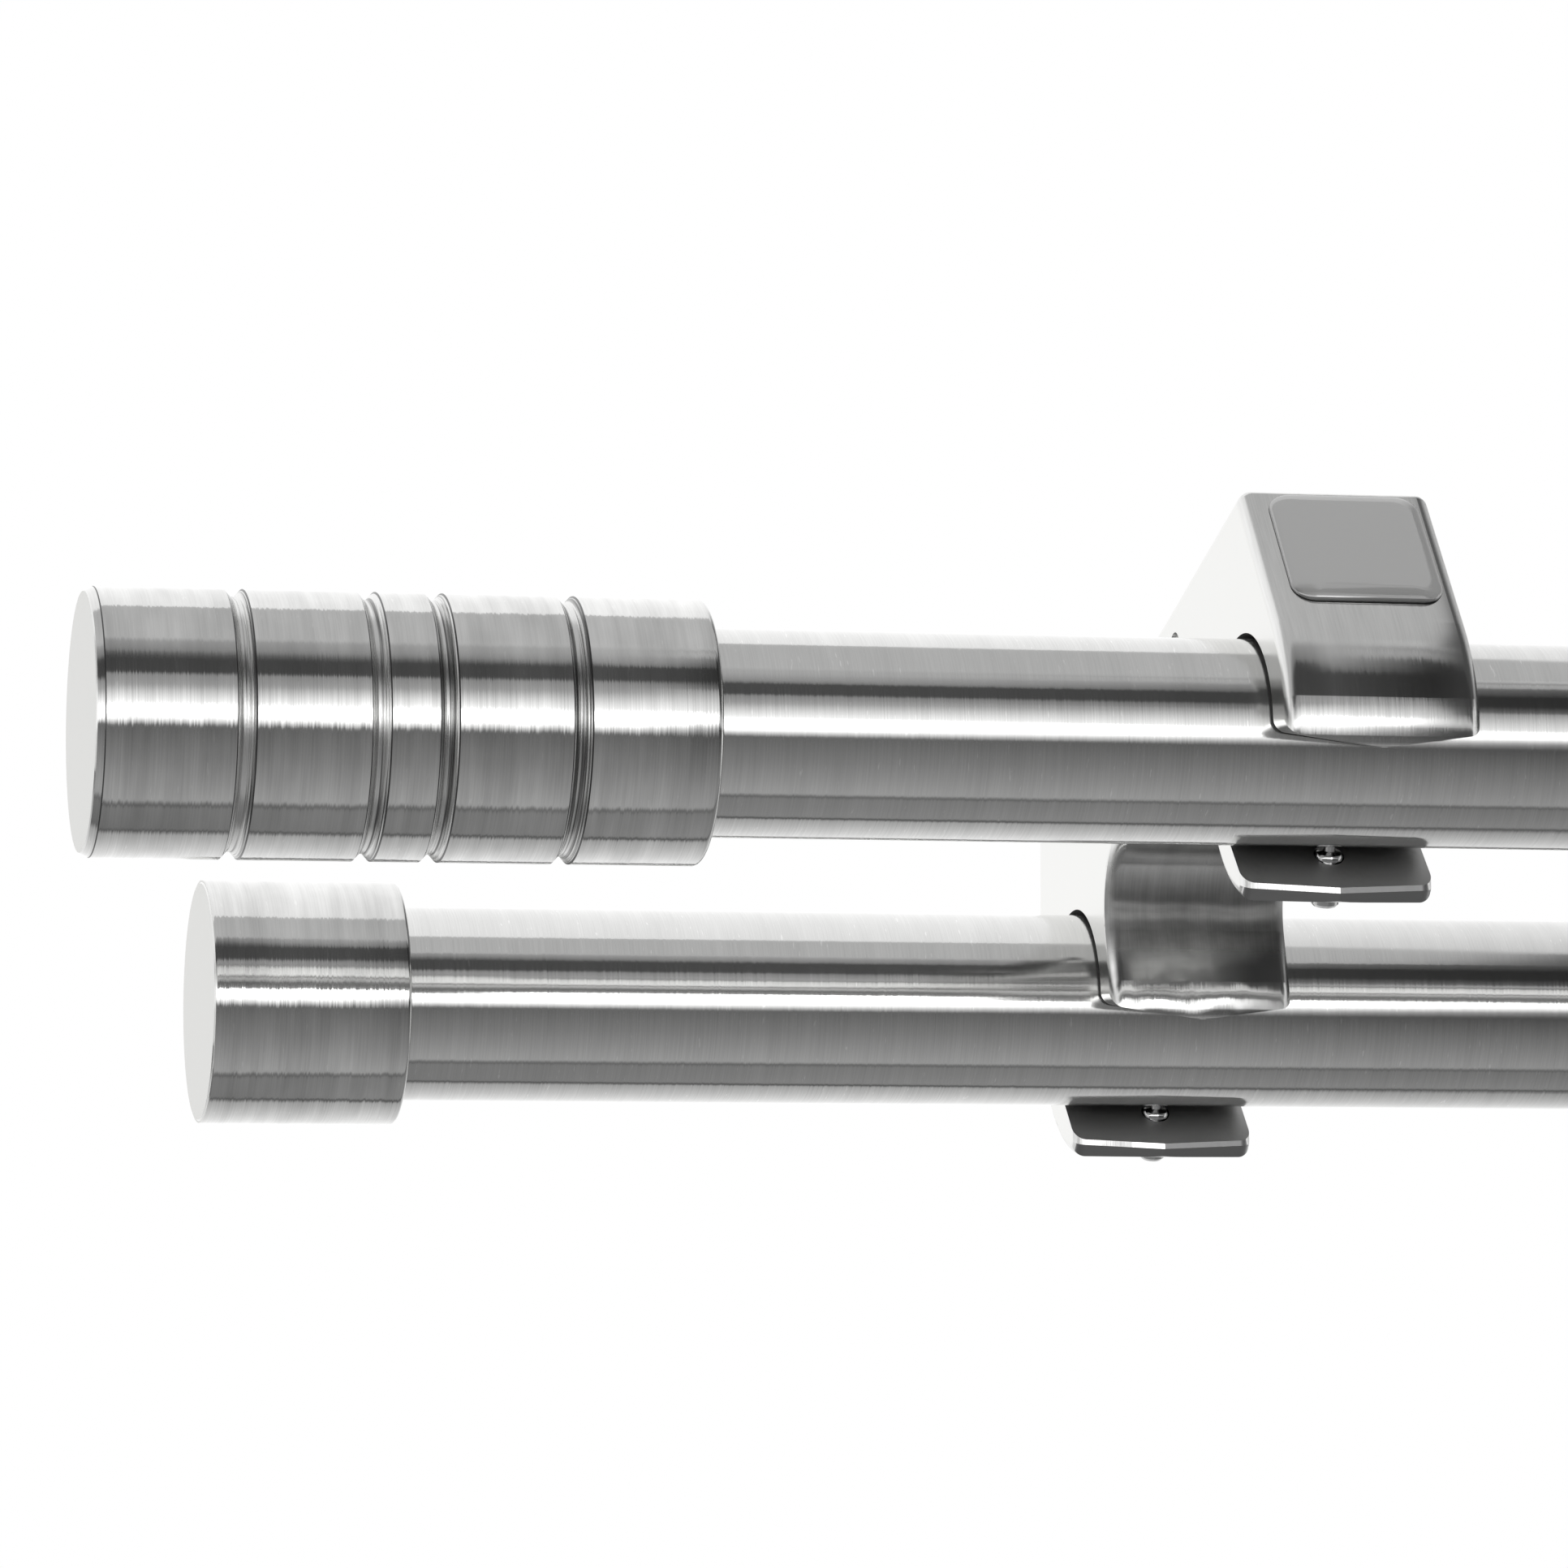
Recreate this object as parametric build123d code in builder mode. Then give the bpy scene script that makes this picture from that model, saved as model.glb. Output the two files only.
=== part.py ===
from build123d import *

import os
from math import cos, hypot, radians, sin

# Double curtain pole for a ceiling, in millimetres.
# The origin is the centre of the four ceiling screw holes, in the ceiling plane.
# +X runs along the poles, +Y to the back and +Z up, into the ceiling.

# Poles
pole_diameter = 20.0
pole_wall = 1.0
pole_length = 1200.0
pole_spacing = 70.0  # between the axes of the front and rear pole
ceiling_drop = 24.0  # from the ceiling down to both axes

# End pieces: a nose stands past the pole, and a sleeve covers its end
socket_clearance = 0.1
finial_diameter = 25.5
finial_nose = 22.5
finial_sleeve = 36.5
finial_bevel = (0.9, 0.35)  # along the axis and inwards
finial_back_round = 0.6
cap_diameter = 25.0
cap_nose = 2.5
cap_sleeve = 17.7
cap_bevel = (0.25, 0.25)
cap_back_round = 0.4

# Grooves round a finial, from its outer face inwards
first_groove = 14.0
groove_bands = (12.6, 6.4, 12.6)
groove_width = 1.9
groove_depth = 0.75
groove_floor = 0.5

# Ceiling brackets
bracket_width = 19.3
bracket_inset = 100.0  # from a pole's end to the middle of its bracket
bore_clearance = 0.6
hook_wall = 4.4
front_hook_wall = 5.0
hook_end_angle = 205.0  # from straight back, up and over the pole to the tip of a hook
hook_end_wall = 4.8
hook_end_round = 0.5
front_bend_angle = 187.0  # where the front hook's outline starts to turn in to its tip
rear_bend_angle = 190.0
jaw_wall = 3.6
jaw_lean = 30.0  # a jaw's flat inner face, from the vertical
jaw_length = 9.5
jaw_end = 1.5  # thickness at the open end of a jaw
jaw_bevel = 0.4  # on the inner edges of that end
jaw_round = 0.4
jaw_ridge = 0.7  # how far the middle of a jaw's end stands past its sides
hook_ridge = 1.35  # the same for a hook
arm_depth = 14.0
arm_fillet = 7.0
front_overhang = 6.4  # the top's front edge, in front of the front axis
front_slant = 23.5
front_flat = 18.8
back_overhang = 9.0
back_slant = 19.2
back_flat = 18.5
top_round = 0.8
bracket_edge_round = 1.3

# Badges on the front faces
badge_width = 15.2
badge_height = 15.2
badge_corner = 2.2
badge_drop = 0.9  # below the face's top corner
badge_shift = 0.5  # to the right of the middle
badge_thickness = 1.1
badge_dome_round = 1.0

# Ceiling channels inside the brackets
channel_length = 60.0
channel_width = 12.0
channel_height = 8.5
channel_wall = 1.5
channel_bend = 1.0  # inside radius of the folds
ceiling_hole_spacing = 40.0
ceiling_hole_diameter = 4.5
pocket_side_clearance = 0.2
pocket_end_clearance = 0.5
pocket_floor_clearance = 0.5
pocket_corner = 0.6

# Grub screws
screw_diameter = 4.0  # in the bracket's side and in the sleeves
screw_socket = 2.0  # across the flats of the hexagon
screw_clearance = 0.1
screw_bevel = 0.5
screw_socket_depth = 1.4
pole_screw_diameter = 3.0  # in the jaws
pole_screw_socket = 1.5
pole_screw_length = 6.4
pole_screw_angle = 50.0  # below the horizontal, behind the pole
channel_screw_recess = 0.65  # below the bracket's side
channel_screw_place = -14.5  # in front of the middle of the arm
channel_screw_drop = 5.1
end_screw_length = 2.4

# Worked out from the sizes above
pole_radius = pole_diameter / 2
bore_radius = pole_radius + bore_clearance
front_axis = (-pole_spacing / 2, -ceiling_drop)
rear_axis = (pole_spacing / 2, -ceiling_drop)
bracket_x = pole_length / 2 - bracket_inset
sides = {"left": -1, "right": 1}


def polar(start, distance, angle):
    """Point of the side view that lies a distance away from another, at an angle up from straight back."""
    return (start[0] + distance * cos(radians(angle)), start[1] + distance * sin(radians(angle)))


def finish(piece, name):
    """Label a finished piece and write it."""
    piece.label = name
    export_step(piece, f"parts/{name}.step")


os.makedirs("parts", exist_ok=True)

# Poles
for name, axis in (("front_pole", front_axis), ("rear_pole", rear_axis)):
    pole_end = Plane(origin=(-pole_length / 2, *axis), x_dir=(0, 1, 0), z_dir=(1, 0, 0))
    with BuildPart() as pole:
        with BuildSketch(pole_end):
            Circle(pole_radius)
            Circle(pole_radius - pole_wall, mode=Mode.SUBTRACT)
        extrude(amount=pole_length)
    finish(pole.part, name)


# Finials and caps
def turned_end(side, axis, radius, nose, sleeve, bevel, back_round, grooves=()):
    """Closed sleeve for the end of a pole, turned from its half section, with a screw hole at the back."""
    length = nose + sleeve
    socket_radius = pole_radius + socket_clearance
    face_x = side * (pole_length / 2 + nose)
    section = Plane(origin=(face_x, *axis), x_dir=(-side, 0, 0), z_dir=(0, side, 0))
    drilling = Plane(origin=(face_x - side * (nose + sleeve / 2), *axis), x_dir=(1, 0, 0), z_dir=(0, 1, 0))
    with BuildPart() as end:
        with BuildSketch(section) as half:
            with BuildLine():
                Polyline(
                    (0, 0),
                    (0, radius - bevel[1]),
                    (bevel[0], radius),
                    (length, radius),
                    (length, socket_radius),
                    (nose, socket_radius),
                    (nose, 0),
                    close=True,
                )
            make_face()
            fillet(half.vertices().sort_by_distance((length, radius))[0], back_round)
            for place in grooves:
                with BuildLine():
                    Polyline(
                        (place - groove_width / 2, radius),
                        (place - groove_floor / 2, radius - groove_depth),
                        (place + groove_floor / 2, radius - groove_depth),
                        (place + groove_width / 2, radius),
                        close=True,
                    )
                make_face(mode=Mode.SUBTRACT)
        revolve(axis=Axis(section.origin, section.x_dir))
        with BuildSketch(drilling):
            Circle(screw_diameter / 2)
        extrude(amount=radius, mode=Mode.SUBTRACT)
    return end.part


groove_places = [first_groove]
for band in groove_bands:
    groove_places.append(groove_places[-1] + band)

for name, side in sides.items():
    finial = turned_end(
        side, front_axis, finial_diameter / 2, finial_nose, finial_sleeve, finial_bevel, finial_back_round,
        groove_places,
    )
    finish(finial, f"{name}_finial")
    cap = turned_end(side, rear_axis, cap_diameter / 2, cap_nose, cap_sleeve, cap_bevel, cap_back_round)
    finish(cap, f"{name}_cap")

# Ceiling bracket casting
# Its side view is drawn midway along its width, where the hooks and jaws reach furthest.
top_front = (front_axis[0] - front_overhang, 0)
top_back = (rear_axis[0] + back_overhang, 0)
face_low = polar(top_front, front_flat, 270 - front_slant)
back_low = polar(top_back, back_flat, 270 + back_slant)
jaw_start = -jaw_lean  # angle at which the bore runs into the jaw's flat inner face
jaw_way = 270 - jaw_lean
hook_front = rear_axis[0] - bore_radius - hook_wall
arm_under = -arm_depth


def jaw_tips(axis):
    """Inner and outer corner at the end of a jaw."""
    inner = polar(polar(axis, bore_radius, jaw_start), jaw_length, jaw_way)
    return inner, polar(inner, jaw_end, jaw_start)


front_jaw_inner, front_jaw_outer = jaw_tips(front_axis)
rear_jaw_inner, rear_jaw_outer = jaw_tips(rear_axis)
front_hook_bend = polar(front_axis, bore_radius + front_hook_wall, front_bend_angle)
front_hook_corner = polar(front_axis, bore_radius + hook_end_wall, hook_end_angle)
front_hook_tip = polar(front_axis, bore_radius, hook_end_angle)
rear_hook_bend = polar(rear_axis, (hook_front - rear_axis[0]) / cos(radians(rear_bend_angle)), rear_bend_angle)
rear_hook_corner = polar(rear_axis, bore_radius + hook_end_wall, hook_end_angle)
rear_hook_tip = polar(rear_axis, bore_radius, hook_end_angle)
front_jaw_back = (front_axis[0] + bore_radius + jaw_wall, front_axis[1])
pole_screw_way = polar((0, 0), 1, -pole_screw_angle)
channel_screw_seat = (-channel_width / 2, channel_screw_place, -channel_screw_drop)
channel_screw_length = (bracket_width - channel_width) / 2 - channel_screw_recess


def is_outer_rim(edge):
    """Whether an edge runs round the outside of a side face, away from the bores, the jaws' flats and the top."""
    middle = edge @ 0.5
    on_side = abs(abs(middle.X) - bracket_width / 2) < bracket_edge_round / 2
    off_axis = min(hypot(middle.Y - axis[0], middle.Z - axis[1]) for axis in (front_axis, rear_axis))
    return on_side and off_axis > bore_radius + jaw_wall / 2 and middle.Z < -top_round / 4


def is_jaw_lip(edge):
    """Whether an edge lies between the flat inner face of a jaw and the end of that jaw."""
    middle = edge @ 0.5
    off_lip = min(hypot(middle.Y - tip[0], middle.Z - tip[1]) for tip in (front_jaw_inner, rear_jaw_inner))
    return off_lip < jaw_ridge and abs(edge.tangent_at(0.5).X) > 0.9


with BuildPart() as casting:
    with BuildSketch(Plane.YZ) as side_view:
        with BuildLine():
            top = Line(top_front, top_back)
            back = Line(top_back, back_low)
            TangentArc(back_low, rear_jaw_outer, tangent=back % 1)
            Line(rear_jaw_outer, rear_jaw_inner)
            Line(rear_jaw_inner, polar(rear_axis, bore_radius, jaw_start))
            CenterArc(rear_axis, bore_radius, jaw_start, hook_end_angle - jaw_start)
            Line(rear_hook_tip, rear_hook_corner)
            rear_face = Line((hook_front, arm_under), rear_hook_bend)
            TangentArc(rear_hook_bend, rear_hook_corner, tangent=rear_face % 1)
            Line((hook_front, arm_under), (front_jaw_back[0], arm_under))
            jaw_back = Line((front_jaw_back[0], arm_under), front_jaw_back)
            TangentArc(front_jaw_back, front_jaw_outer, tangent=jaw_back % 1)
            Line(front_jaw_outer, front_jaw_inner)
            Line(front_jaw_inner, polar(front_axis, bore_radius, jaw_start))
            CenterArc(front_axis, bore_radius, jaw_start, hook_end_angle - jaw_start)
            Line(front_hook_tip, front_hook_corner)
            face = Line(top_front, face_low)
            bend = TangentArc(face_low, front_hook_bend, tangent=face % 1)
            TangentArc(front_hook_bend, front_hook_corner, tangent=bend % 1)
        make_face()
        for corner in ((hook_front, arm_under), (front_jaw_back[0], arm_under)):
            fillet(side_view.vertices().sort_by_distance(corner)[0], arm_fillet)
        for corner in (front_hook_corner, rear_hook_corner):
            fillet(side_view.vertices().sort_by_distance(corner)[0], hook_end_round)
        for corner in (front_jaw_outer, rear_jaw_outer):
            fillet(side_view.vertices().sort_by_distance(corner)[0], jaw_round)
        for corner in (top_front, top_back):
            fillet(side_view.vertices().sort_by_distance(corner)[0], top_round)
    extrude(amount=bracket_width / 2, both=True)

    # The sides of each hook and jaw are cut back from a ridge midway across its end.
    for tip, facing, ridge in (
        (front_hook_tip, hook_end_angle + 90, hook_ridge),
        (rear_hook_tip, hook_end_angle + 90, hook_ridge),
        (front_jaw_inner, jaw_way, jaw_ridge),
        (rear_jaw_inner, jaw_way, jaw_ridge),
    ):
        out = polar((0, 0), 1, facing)
        with BuildSketch(Plane(origin=(0, *tip), x_dir=(1, 0, 0), z_dir=(0, -out[1], out[0]))):
            for side in sides.values():
                with BuildLine():
                    Polyline(
                        (0, 0),
                        (side * bracket_width, -2 * ridge),
                        (side * bracket_width, ridge),
                        (0, ridge),
                        close=True,
                    )
                make_face()
        extrude(amount=pole_radius, both=True, mode=Mode.SUBTRACT)

    chamfer(casting.edges().filter_by(is_jaw_lip), jaw_bevel)
    fillet(casting.edges().filter_by(is_outer_rim), bracket_edge_round)

    # Pocket for the ceiling channel
    with BuildSketch(Plane.XY):
        RectangleRounded(
            channel_width + 2 * pocket_side_clearance, channel_length + 2 * pocket_end_clearance, pocket_corner
        )
    extrude(amount=-channel_height - pocket_floor_clearance, mode=Mode.SUBTRACT)

    # Screw holes: one through each jaw, and one in the left side for the screw that locks the channel
    for axis in (front_axis, rear_axis):
        with BuildSketch(Plane(origin=(0, *axis), x_dir=(1, 0, 0), z_dir=(0, *pole_screw_way))):
            Circle(pole_screw_diameter / 2)
        extrude(amount=pole_radius + pole_screw_length, mode=Mode.SUBTRACT)
    with BuildSketch(Plane(channel_screw_seat, x_dir=(0, 1, 0), z_dir=(-1, 0, 0))):
        Circle(screw_diameter / 2)
    extrude(amount=bracket_width / 2, mode=Mode.SUBTRACT)

# Badge: a domed label on the flat of the front face
badge_middle = polar(top_front, badge_drop + badge_height / 2, 270 - front_slant)
badge_out = polar((0, 0), 1, 180 - front_slant)
with BuildPart() as badge:
    with BuildSketch(Plane(origin=(badge_shift, *badge_middle), x_dir=(1, 0, 0), z_dir=(0, *badge_out))):
        RectangleRounded(badge_width, badge_height, badge_corner)
    extrude(amount=badge_thickness)
    front = badge.faces().sort_by(Axis((0, 0, 0), (0, *badge_out)))[-1]
    fillet(front.edges(), badge_dome_round)

# Ceiling channel: folded from flat steel, with two screw holes
with BuildPart() as channel:
    with BuildSketch(Plane.XZ) as section:
        with Locations((0, -channel_height / 2)):
            Rectangle(channel_width, channel_height)
        fillet(section.vertices().group_by(Axis.Y)[-1], channel_bend + channel_wall)
        with BuildSketch(mode=Mode.SUBTRACT) as inside:
            with Locations((0, -channel_wall - channel_height / 2)):
                Rectangle(channel_width - 2 * channel_wall, channel_height)
            fillet(inside.vertices().group_by(Axis.Y)[-1], channel_bend)
    extrude(amount=channel_length / 2, both=True)
    with GridLocations(0, ceiling_hole_spacing, 1, 2):
        Hole(ceiling_hole_diameter / 2)


# Grub screws
def grub_screw(seat, way, length, diameter=screw_diameter, socket=screw_socket):
    """Grub screw that presses on its seat and points outwards along its way, where its hexagon socket is."""
    base = Plane(origin=seat, z_dir=way)
    with BuildPart() as screw:
        with BuildSketch(base):
            Circle(diameter / 2 - screw_clearance)
        extrude(amount=length)
        chamfer(screw.edges().filter_by(GeomType.CIRCLE), screw_bevel)
        with BuildSketch(base.offset(length)):
            RegularPolygon(socket / 2, 6, major_radius=False)
        extrude(amount=-screw_socket_depth, mode=Mode.SUBTRACT)
    return screw.part


with BuildPart() as pole_screws:
    for axis in (front_axis, rear_axis):
        pole_side = (0, *polar(axis, pole_radius, -pole_screw_angle))
        add(grub_screw(pole_side, (0, *pole_screw_way), pole_screw_length, pole_screw_diameter, pole_screw_socket))

with BuildPart() as channel_screw:
    add(grub_screw(channel_screw_seat, (-1, 0, 0), channel_screw_length))

for name, side in sides.items():
    for piece, kind in (
        (casting, "bracket"),
        (badge, "badge"),
        (channel, "ceiling_channel"),
        (pole_screws, "pole_screws"),
        (channel_screw, "channel_screw"),
    ):
        with BuildPart() as placed:
            with Locations((side * bracket_x, 0, 0)):
                add(piece.part)
        finish(placed.part, f"{name}_{kind}")

for name, axis, nose, sleeve in (
    ("finial_screws", front_axis, finial_nose, finial_sleeve),
    ("cap_screws", rear_axis, cap_nose, cap_sleeve),
):
    with BuildPart() as end_screws:
        for side in sides.values():
            middle = side * (pole_length / 2 - sleeve / 2)
            add(grub_screw((middle, axis[0] + pole_radius, axis[1]), (0, 1, 0), end_screw_length))
    finish(end_screws.part, name)
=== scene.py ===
# %% [markdown]
# # A double curtain pole
# Two brushed steel tubes hang from the ceiling in cast hook brackets. The front tube ends in turned cylinders
# with grooves, the rear one in short plain caps. The solids come from the CAD model and stay where they are.
# This lesson gives them their surfaces, remakes the turned pieces and the clamp screws with more detail, and
# sets up the light.

import math

import bmesh
import bpy
from mathutils import Matrix, Vector


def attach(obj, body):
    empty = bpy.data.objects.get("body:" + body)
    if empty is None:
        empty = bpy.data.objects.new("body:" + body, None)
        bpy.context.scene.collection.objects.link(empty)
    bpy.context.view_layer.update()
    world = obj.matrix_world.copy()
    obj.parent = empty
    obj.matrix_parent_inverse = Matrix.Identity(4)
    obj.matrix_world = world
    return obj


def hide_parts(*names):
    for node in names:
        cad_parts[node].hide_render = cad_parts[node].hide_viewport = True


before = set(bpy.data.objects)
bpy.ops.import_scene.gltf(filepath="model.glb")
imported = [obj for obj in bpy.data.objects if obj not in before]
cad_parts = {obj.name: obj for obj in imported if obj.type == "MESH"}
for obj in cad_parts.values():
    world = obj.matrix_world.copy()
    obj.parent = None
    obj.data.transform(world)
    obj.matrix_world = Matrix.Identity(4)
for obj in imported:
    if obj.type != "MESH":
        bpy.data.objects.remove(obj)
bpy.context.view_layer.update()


# %% [markdown]
# ## Sizes
# The drawing is in millimetres and Blender works in metres, so one short function turns one into the other.
# The sizes below are the ones that several pieces made here share with the solids.

# %% Sizes of the real object
def mm(*values):
    """Millimetres as metres: one number, or a tuple of them."""
    return values[0] / 1000 if len(values) == 1 else tuple(v / 1000 for v in values)


POLE_RADIUS = 10.0
POLE_WALL = 1.0
POLE_LENGTH = 1200.0
FRONT_AXIS = (-35.0, -24.0)  # y and z of the front pole's axis
REAR_AXIS = (35.0, -24.0)
BRACKET_X = 500.0  # from the middle of the poles to the middle of a bracket
BRACKET_WIDTH = 19.3
SIDES = {"left": -1, "right": 1}
print("pole", 2 * POLE_RADIUS, "x", POLE_LENGTH, "mm, axes", REAR_AXIS[0] - FRONT_AXIS[0], "mm apart")


# %% [markdown]
# ## Camera
# The photograph was taken with a long lens from below and from the left. A long lens stands far off and
# flattens the view. Two of the camera's own directions are written down, the third is square to both, and
# together they make its rotation.

# %% Camera
CAMERA_PLACE = (-702.9, -670.1, -307.1)
CAMERA_RIGHT = Vector((0.97801, -0.19703, -0.06836))
CAMERA_UP = Vector((-0.01600, -0.39771, 0.91737))
FOCAL_LENGTH = 170.82


def new_object(name, data):
    """An object with this data, in the scene and at the origin."""
    made = bpy.data.objects.new(name, data)
    bpy.context.scene.collection.objects.link(made)
    return made


camera_data = bpy.data.cameras.new("Long lens")
camera_data.sensor_width = 36
camera_data.lens = FOCAL_LENGTH
camera_data.clip_end = 100
camera = new_object("Camera", camera_data)
rotation = Matrix((CAMERA_RIGHT, CAMERA_UP, CAMERA_RIGHT.cross(CAMERA_UP))).transposed().to_4x4()
camera.matrix_world = Matrix.Translation(mm(*CAMERA_PLACE)) @ rotation
bpy.context.scene.camera = camera
bpy.context.scene.view_settings.view_transform = "Standard"
print("lens", FOCAL_LENGTH, "mm, camera at", CAMERA_PLACE, "mm")


# %% [markdown]
# ## Helpers
# A shader or geometry tree is a list of nodes and links. One function adds a node with its settings, its
# values and its incoming links, so each tree below reads as a short list. Colours are written as sRGB hex, as
# a paint chart has them, and another function turns them into the linear numbers that Blender works with.

# %% Helpers for nodes and colours
MATH = "ShaderNodeMath"
VECTOR = "ShaderNodeVectorMath"
RANGE = "ShaderNodeMapRange"  # moves values from one range (inputs 1 and 2) to another (3 and 4)


def add_node(tree, kind, values=None, links=None, **settings):
    """Add a node with its settings, input values and links. A node as a link stands for its first output."""
    node = tree.nodes.new(kind)
    for name, value in settings.items():
        setattr(node, name, value)
    for socket, value in (values or {}).items():
        node.inputs[socket].default_value = value
    for socket, source in (links or {}).items():
        if isinstance(source, bpy.types.Node):
            source = source.outputs[0]
        tree.links.new(source, node.inputs[socket])
    return node


def linear(hex_colour):
    """An sRGB hex colour as linear red, green, blue and alpha."""
    parts = [int(hex_colour[i:i + 2], 16) / 255 for i in (1, 3, 5)]
    return tuple(c / 12.92 if c <= 0.04045 else ((c + 0.055) / 1.055) ** 2.4 for c in parts) + (1.0,)


print("mid grey in linear light:", round(linear("#808080")[0], 3))


# %% [markdown]
# ## Studio
# Bare metal is lit by what it mirrors. In a product studio that is white paper behind the object, a soft box
# in front of it, and grey and black boards between. Each board here covers a range of height as seen from the
# poles. Height is an angle: 0 is straight in front, 90 overhead, 180 behind and -90 underneath. All boards
# together are one ring round the object that only mirrors see. A camera sees plain white, and matt surfaces
# get a plain even light.

# %% World: white to look at, an even light on matt surfaces
EVEN_LIGHT = 0.7
WHITE = (1, 1, 1, 1)

world = bpy.data.worlds.new("Studio")
bpy.context.scene.world = world
world.use_nodes = True
tree = world.node_tree
tree.nodes.clear()
rays = add_node(tree, "ShaderNodeLightPath")
seen = add_node(
    tree, MATH, operation="MAXIMUM",
    links={0: rays.outputs["Is Camera Ray"], 1: rays.outputs["Is Glossy Ray"]},
)
seen = add_node(tree, MATH, operation="MAXIMUM", links={0: seen, 1: rays.outputs["Is Transmission Ray"]})
even = add_node(tree, "ShaderNodeBackground", values={"Color": WHITE, "Strength": EVEN_LIGHT})
white = add_node(tree, "ShaderNodeBackground", values={"Color": WHITE, "Strength": 1.0})
either = add_node(tree, "ShaderNodeMixShader", links={0: seen, 1: even, 2: white})
add_node(tree, "ShaderNodeOutputWorld", links={0: either})
print("even light", EVEN_LIGHT)

# %% Boards round the object
RING_RADIUS = 2.6  # metres, as are the sizes of the floor and the lamps
RING_STEPS = 8  # steps from one edge of a board to the next edge
STATIONS = (  # distance along the poles in metres, and the column of the table that holds there
    (-7.0, 0), (-0.33, 0), (0.02, 1), (0.13, 1), (0.28, 2), (0.55, 2), (1.25, 3), (7.0, 3),
)
# Angle and brightness of both edges of each board, in four columns: at the poles' left end, left of the
# bracket, round the bracket, and right of it
BOARDS = {
    "paper behind, low": (
        (-200, 1.1, -133, 0.4), (-200, 1.15, -133, 0.43), (-200, 1.05, -138, 0.36), (-200, 1.0, -138, 0.36),
    ),
    "seam behind the table": (
        (-127, 0.12, -125.5, 0.12), (-130.5, 0.1, -129, 0.1), (-130.5, 0.1, -129, 0.1),
        (-130.5, 0.1, -129, 0.1),
    ),
    "gap behind the table": (
        (-124, 0.15, -100, 0.19), (-127, 0.29, -98, 0.24), (-127, 0.27, -98, 0.19), (-127, 0.27, -98, 0.19),
    ),
    "seam of the table": (
        (-98, 0.13, -96.5, 0.13), (-96.5, 0.15, -95, 0.15), (-96.5, 0.13, -95, 0.13),
        (-96.5, 0.13, -95, 0.13),
    ),
    "table top": (
        (-92, 0.37, -55, 0.23), (-92, 0.39, -55, 0.25), (-92, 0.32, -52, 0.17), (-92, 0.3, -52, 0.15),
    ),
    "table top, front edge": (
        (-54, 0.225, -25, 0.13), (-54, 0.245, -27, 0.18), (-50, 0.16, -20, 0.03), (-50, 0.14, -20, 0.03),
    ),
    "soft box, lower edge": (
        (-21, 1.0, -17, 1.5), (-22, 1.2, -17, 2.5), (-15, 0.7, -12, 0.9), (-16, 0.4, -14, 0.5),
    ),
    "soft box": (
        (-16, 2.0, -9, 2.0), (-16, 4.0, -9, 4.0), (-11, 1.0, -7, 1.0), (-13, 0.5, -10, 0.5),
    ),
    "soft box, upper edge": (
        (-7, 1.2, 7, 0.42), (-6, 1.25, 10, 0.42), (-6, 0.9, 10, 0.5), (-9, 0.45, -4, 0.3),
    ),
    "grey cloth": (
        (9, 0.37, 17, 0.3), (11, 0.4, 18, 0.34), (11, 0.46, 12.5, 0.4), (-3, 0.25, -1, 0.15),
    ),
    "black board": (
        (19.5, 0.06, 37.5, 0.05), (20.5, 0.1, 32, 0.1), (14.5, 0.015, 43.5, 0.01), (1, 0.05, 42.5, 0.04),
    ),
    "grey board": (
        (40.5, 0.2, 49, 0.3), (34, 0.44, 50, 0.52), (45.5, 0.38, 49, 0.44), (45, 0.07, 49, 0.07),
    ),
    "grey board, upper part": (
        (53, 0.5, 62, 0.48), (51, 0.52, 62, 0.5), (50, 0.28, 51.5, 0.28), (50, 0.07, 51.5, 0.07),
    ),
    "white paper": (
        (64, 0.9, 96, 0.95), (64, 0.92, 96, 0.97), (53, 0.6, 96, 0.86), (53, 0.07, 96, 0.07),
    ),
    "white paper, upper part": (
        (97, 0.95, 159, 1.12), (97, 0.97, 159, 1.15), (97, 0.86, 159, 1.1), (97, 0.07, 159, 0.9),
    ),
}


def ring_rows(column):
    """Angles and brightness down one column of the table, a whole turn of them."""
    edges = [edge for columns in BOARDS.values() for edge in (columns[column][:2], columns[column][2:])]
    edges.append((edges[0][0] + 360, edges[0][1]))
    rows = []
    for (low, low_level), (high, high_level) in zip(edges, edges[1:]):
        for k in range(RING_STEPS):
            share = k / RING_STEPS
            rows.append((low + (high - low) * share, low_level + (high_level - low_level) * share))
    return rows


ring_points = []
ring_levels = []
for along, column in STATIONS:
    for angle, level in ring_rows(column):
        a = math.radians(angle)
        ring_points.append((along, -RING_RADIUS * math.cos(a), RING_RADIUS * math.sin(a)))
        ring_levels.append(level)
print(len(BOARDS), "boards:", ", ".join(BOARDS))


# %% Boards as objects
def mirror_board(name, points, faces, levels):
    """A board that only mirrors see, with a plain glow as bright as each of its points says."""
    mesh = bpy.data.meshes.new(name)
    mesh.from_pydata(points, [], faces)
    mesh.attributes.new("level", "FLOAT", "POINT").data.foreach_set("value", levels)
    finish = bpy.data.materials.new(name)
    finish.use_nodes = True
    finish.cycles.emission_sampling = "NONE"
    tree = finish.node_tree
    tree.nodes.clear()
    level = add_node(tree, "ShaderNodeAttribute", attribute_name="level")
    shine = add_node(tree, "ShaderNodeEmission", links={"Strength": level.outputs["Fac"]})
    add_node(tree, "ShaderNodeOutputMaterial", links={0: shine})
    mesh.materials.append(finish)
    board = new_object(name, mesh)
    for rays_name in ("visible_camera", "visible_diffuse", "visible_shadow"):
        setattr(board, rays_name, False)
    return board


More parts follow.
